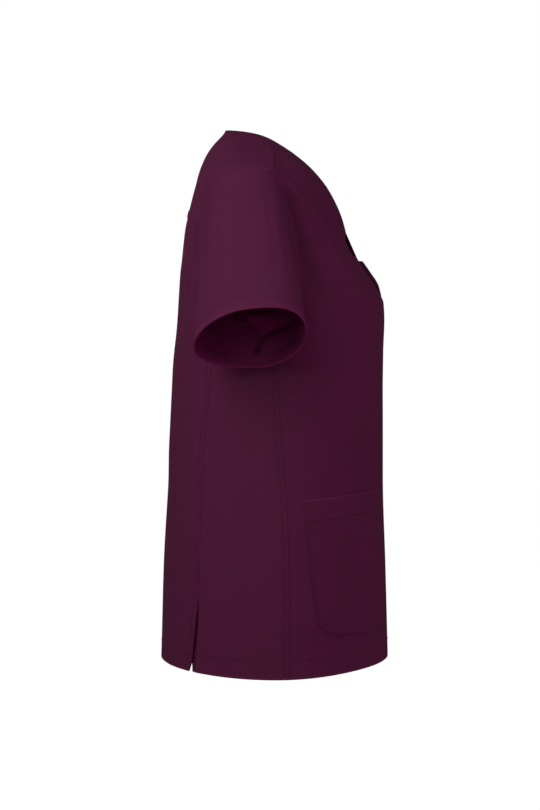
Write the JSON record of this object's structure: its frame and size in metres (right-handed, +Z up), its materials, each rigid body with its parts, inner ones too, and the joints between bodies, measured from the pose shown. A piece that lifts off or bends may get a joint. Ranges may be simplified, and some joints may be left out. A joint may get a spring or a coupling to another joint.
{
  "type": "scrub top",
  "caption": "Short-sleeved V-neck scrub top with a lapped neck band, back yoke, vented side panels and two patch pockets, holding its worn form.",
  "frame": {"origin": "midway between the two high shoulder points of the neck, where the wearer carries the garment", "axes": "+Z up along the garment's length, -Y towards the wearer's front, -X towards the wearer's right side"},
  "size_m": [0.5898, 0.2818, 0.647],
  "materials": {
    "front": "matte burgundy woven twill",
    "back": "matte burgundy woven twill",
    "yoke": "matte burgundy woven twill",
    "neck_band": "matte burgundy woven twill, doubled",
    "side_panel_right": "matte burgundy woven twill",
    "side_panel_left": "matte burgundy woven twill",
    "sleeve_right": "matte burgundy woven twill",
    "sleeve_left": "matte burgundy woven twill",
    "pocket_right": "matte burgundy woven twill",
    "pocket_left": "matte burgundy woven twill",
    "vent_facing_right": "matte burgundy woven twill",
    "vent_facing_left": "matte burgundy woven twill"
  },
  "bodies": {
    "root": {"front": "front", "back": "back", "yoke": "yoke", "neck_band": "neck_band", "side_panel_right": "side_panel_right", "side_panel_left": "side_panel_left", "sleeve_right": "sleeve_right", "sleeve_left": "sleeve_left", "pocket_right": "pocket_right", "pocket_left": "pocket_left", "vent_facing_right": "vent_facing_right", "vent_facing_left": "vent_facing_left"}
  },
  "joints": []
}
